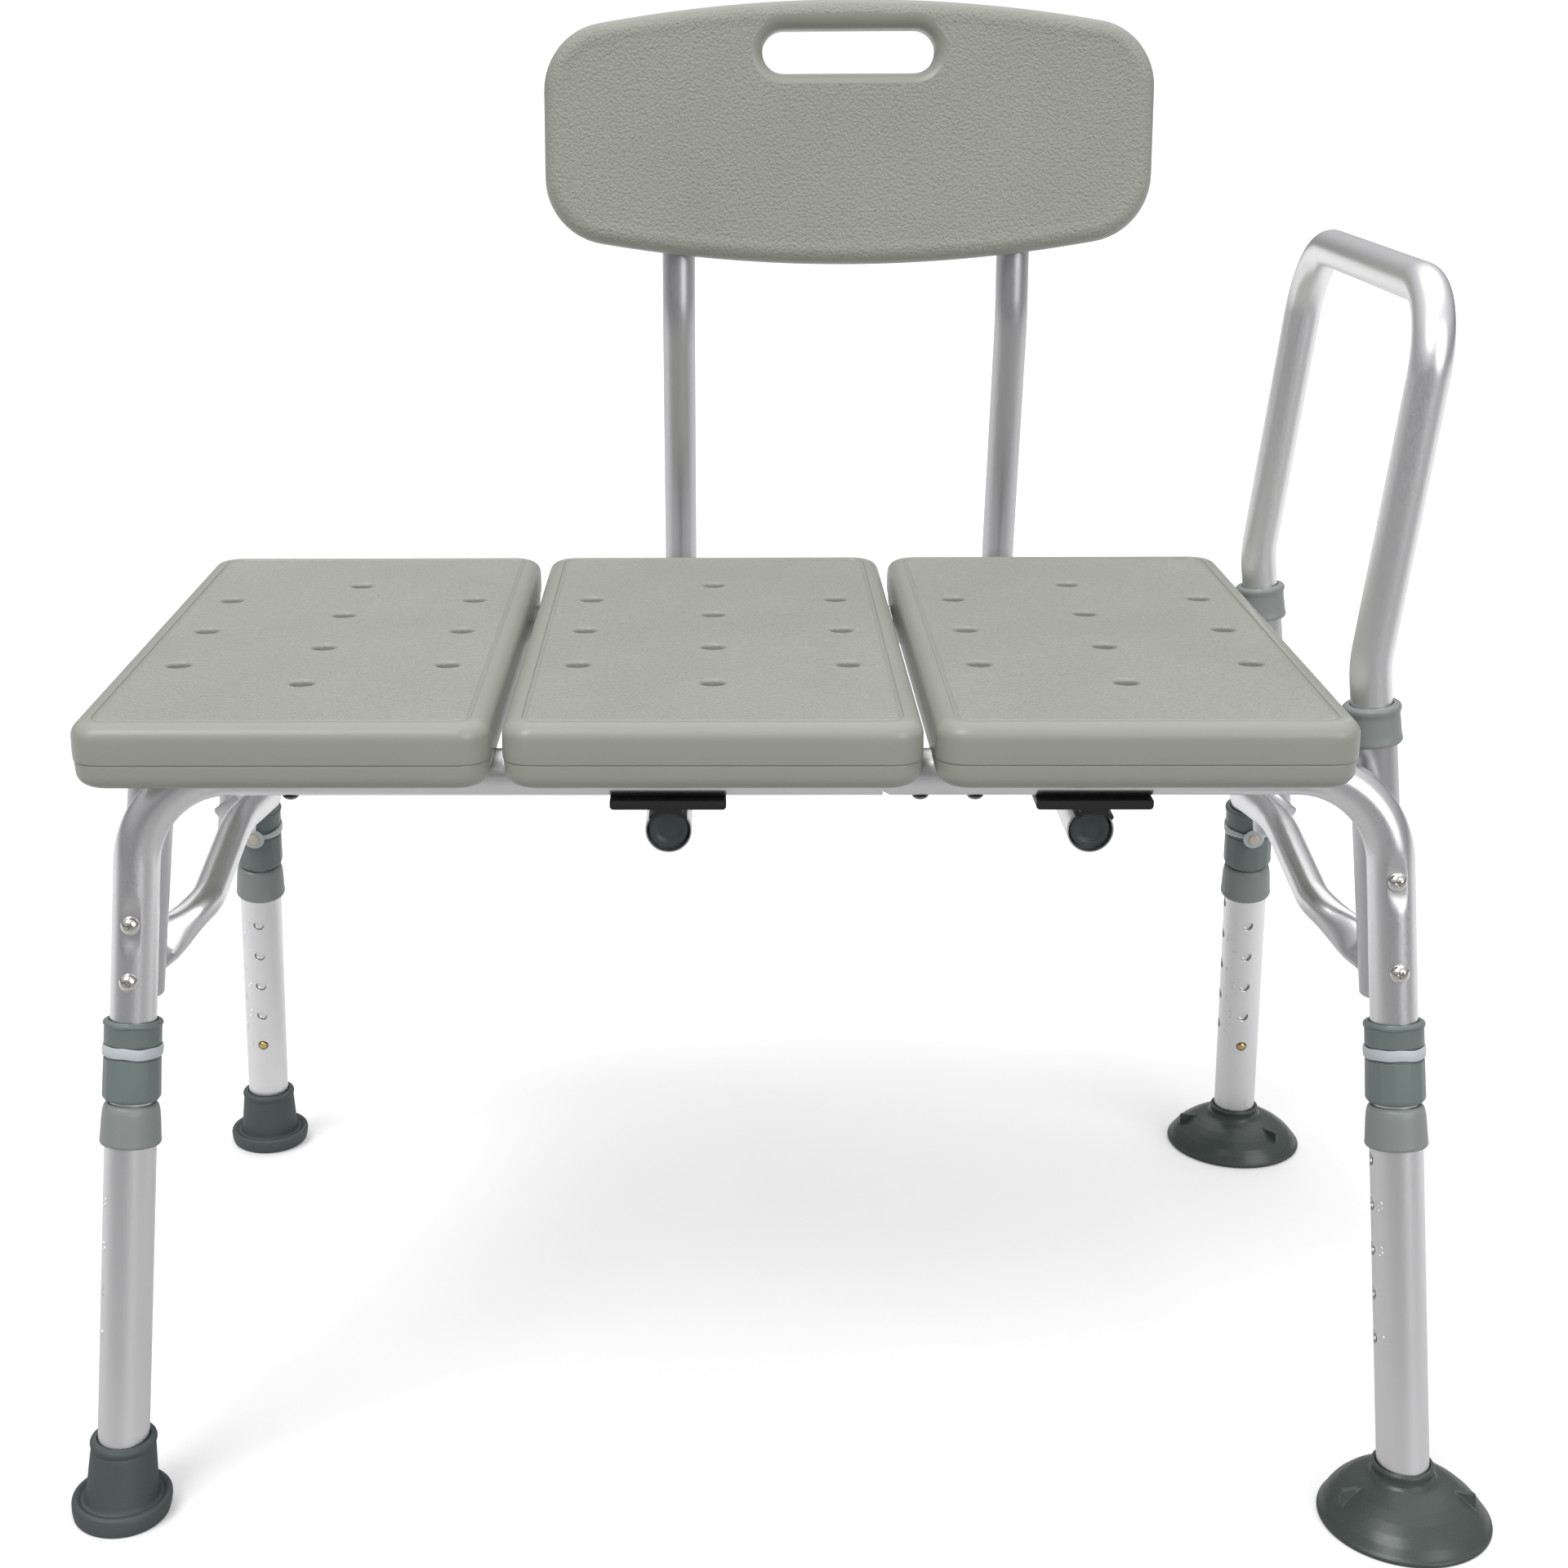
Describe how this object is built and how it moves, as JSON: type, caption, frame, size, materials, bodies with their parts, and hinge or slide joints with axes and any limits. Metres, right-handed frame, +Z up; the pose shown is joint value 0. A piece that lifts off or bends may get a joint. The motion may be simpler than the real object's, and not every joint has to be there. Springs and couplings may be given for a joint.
{
  "type": "bath transfer bench",
  "caption": "Bath transfer bench: panelled plastic seat on a tube frame, slide-in backrest, lift-out arm rail, telescoping legs with rubber tips and suction cups.",
  "frame": {"origin": "on the floor, under the middle of the part's box", "axes": "+Z up; the sitter faces -Y; +X toward the arm rail and the suction cups"},
  "size_m": [0.7944, 0.5982, 0.8102],
  "materials": {
    "sage_plastic": "moulded, fine pebble texture",
    "aluminium_tube": "satin anodised tube",
    "grey_plastic": "satin moulded plastic",
    "grey_rubber": "matte moulded rubber",
    "black_plastic": "matte moulded plastic",
    "brass": "polished",
    "cream_plastic": "smooth moulded plastic",
    "nickel_screw": "bright nickel plate"
  },
  "bodies": {
    "frame": {"arm_collar_front": "grey_plastic", "arm_collar_rear": "grey_plastic", "arm_socket_front_left": "aluminium_tube", "arm_socket_front_right": "aluminium_tube", "arm_socket_rear_left": "aluminium_tube", "arm_socket_rear_right": "aluminium_tube", "back_bracket_front_left": "black_plastic", "back_bracket_front_right": "black_plastic", "back_bracket_rear_left": "black_plastic", "back_bracket_rear_right": "black_plastic", "back_receiver_left": "aluminium_tube", "back_receiver_right": "aluminium_tube", "frame_front_left": "aluminium_tube", "frame_front_right": "aluminium_tube", "frame_rear_left": "aluminium_tube", "frame_rear_right": "aluminium_tube", "inner_tube_front_left": "aluminium_tube", "inner_tube_front_right": "aluminium_tube", "inner_tube_rear_left": "aluminium_tube", "inner_tube_rear_right": "aluminium_tube", "leg_screw_front_left_lower": "nickel_screw", "leg_screw_front_left_upper": "nickel_screw", "leg_screw_front_right_lower": "nickel_screw", "leg_screw_front_right_upper": "nickel_screw", "seat_panel_left": "sage_plastic", "seat_panel_middle": "sage_plastic", "seat_panel_right": "sage_plastic", "side_brace_left": "aluminium_tube", "side_brace_right": "aluminium_tube", "upper_collar_front_left": "grey_plastic", "upper_collar_front_right": "grey_plastic", "upper_collar_rear_left": "grey_plastic", "upper_collar_rear_right": "grey_plastic"},
    "arm": {"arm_rail": "aluminium_tube"},
    "backrest": {"back_panel": "sage_plastic", "back_tube_left": "aluminium_tube", "back_tube_plug_left": "grey_plastic", "back_tube_plug_right": "grey_plastic", "back_tube_right": "aluminium_tube"},
    "pin_front_left": {"lock_pin_front_left": "cream_plastic"},
    "pin_front_right": {"lock_pin_front_right": "cream_plastic"},
    "pin_rear_left": {"lock_pin_rear_left": "cream_plastic"},
    "pin_rear_right": {"lock_pin_rear_right": "cream_plastic"},
    "leg_front_left": {"lower_collar_front_left": "grey_plastic", "outer_tube_front_left": "aluminium_tube", "rubber_tip_front_left": "grey_rubber"},
    "leg_front_right": {"lower_collar_front_right": "grey_plastic", "outer_tube_front_right": "aluminium_tube", "suction_cup_front_right": "grey_rubber"},
    "leg_rear_left": {"lower_collar_rear_left": "grey_plastic", "outer_tube_rear_left": "aluminium_tube", "rubber_tip_rear_left": "grey_rubber"},
    "leg_rear_right": {"lower_collar_rear_right": "grey_plastic", "outer_tube_rear_right": "aluminium_tube", "suction_cup_rear_right": "grey_rubber"},
    "button_front_left": {"snap_button_front_left": "brass"},
    "button_front_right": {"snap_button_front_right": "brass"},
    "button_rear_left": {"snap_button_rear_left": "brass"},
    "button_rear_right": {"snap_button_rear_right": "brass"}
  },
  "joints": [
    {"name": "leg_extend_front_left", "type": "slide", "parent": "frame", "child": "leg_front_left", "axis": [-0.0571, -0.1744, -0.983], "range_m": [0, 0.1016], "deforming": ["snap_button_front_left"]},
    {"name": "button_press_front_left", "type": "slide", "parent": "frame", "child": "button_front_left", "axis": [0, -0.9846, 0.1747], "range_m": [0, 0.0045], "stiffness_N_per_m": 2000, "springref_m": -0.001},
    {"name": "pin_pull_front_left", "type": "slide", "parent": "frame", "child": "pin_front_left", "axis": [0, 0.9846, -0.1747], "range_m": [0, 0.015]},
    {"name": "leg_extend_front_right", "type": "slide", "parent": "frame", "child": "leg_front_right", "axis": [0.0571, -0.1744, -0.983], "range_m": [0, 0.1016], "deforming": ["snap_button_front_right"]},
    {"name": "button_press_front_right", "type": "slide", "parent": "frame", "child": "button_front_right", "axis": [0, -0.9846, 0.1747], "range_m": [0, 0.0045], "stiffness_N_per_m": 2000, "springref_m": -0.001},
    {"name": "pin_pull_front_right", "type": "slide", "parent": "frame", "child": "pin_front_right", "axis": [0, 0.9846, -0.1747], "range_m": [0, 0.015]},
    {"name": "leg_extend_rear_left", "type": "slide", "parent": "frame", "child": "leg_rear_left", "axis": [-0.0571, 0.1744, -0.983], "range_m": [0, 0.1016], "deforming": ["snap_button_rear_left"]},
    {"name": "button_press_rear_left", "type": "slide", "parent": "frame", "child": "button_rear_left", "axis": [0, 0.9846, 0.1747], "range_m": [0, 0.0045], "stiffness_N_per_m": 2000, "springref_m": -0.001},
    {"name": "pin_pull_rear_left", "type": "slide", "parent": "frame", "child": "pin_rear_left", "axis": [0, -0.9846, -0.1747], "range_m": [0, 0.015]},
    {"name": "leg_extend_rear_right", "type": "slide", "parent": "frame", "child": "leg_rear_right", "axis": [0.0571, 0.1744, -0.983], "range_m": [0, 0.1016], "deforming": ["snap_button_rear_right"]},
    {"name": "button_press_rear_right", "type": "slide", "parent": "frame", "child": "button_rear_right", "axis": [0, 0.9846, 0.1747], "range_m": [0, 0.0045], "stiffness_N_per_m": 2000, "springref_m": -0.001},
    {"name": "pin_pull_rear_right", "type": "slide", "parent": "frame", "child": "pin_rear_right", "axis": [0, -0.9846, -0.1747], "range_m": [0, 0.015]},
    {"name": "backrest_slide", "type": "slide", "parent": "frame", "child": "backrest", "axis": [0, 1, 0], "range_m": [0, 0.33]},
    {"name": "arm_lift", "type": "slide", "parent": "frame", "child": "arm", "axis": [-0.1191, 0, 0.9929], "range_m": [0, 0.07]}
  ]
}
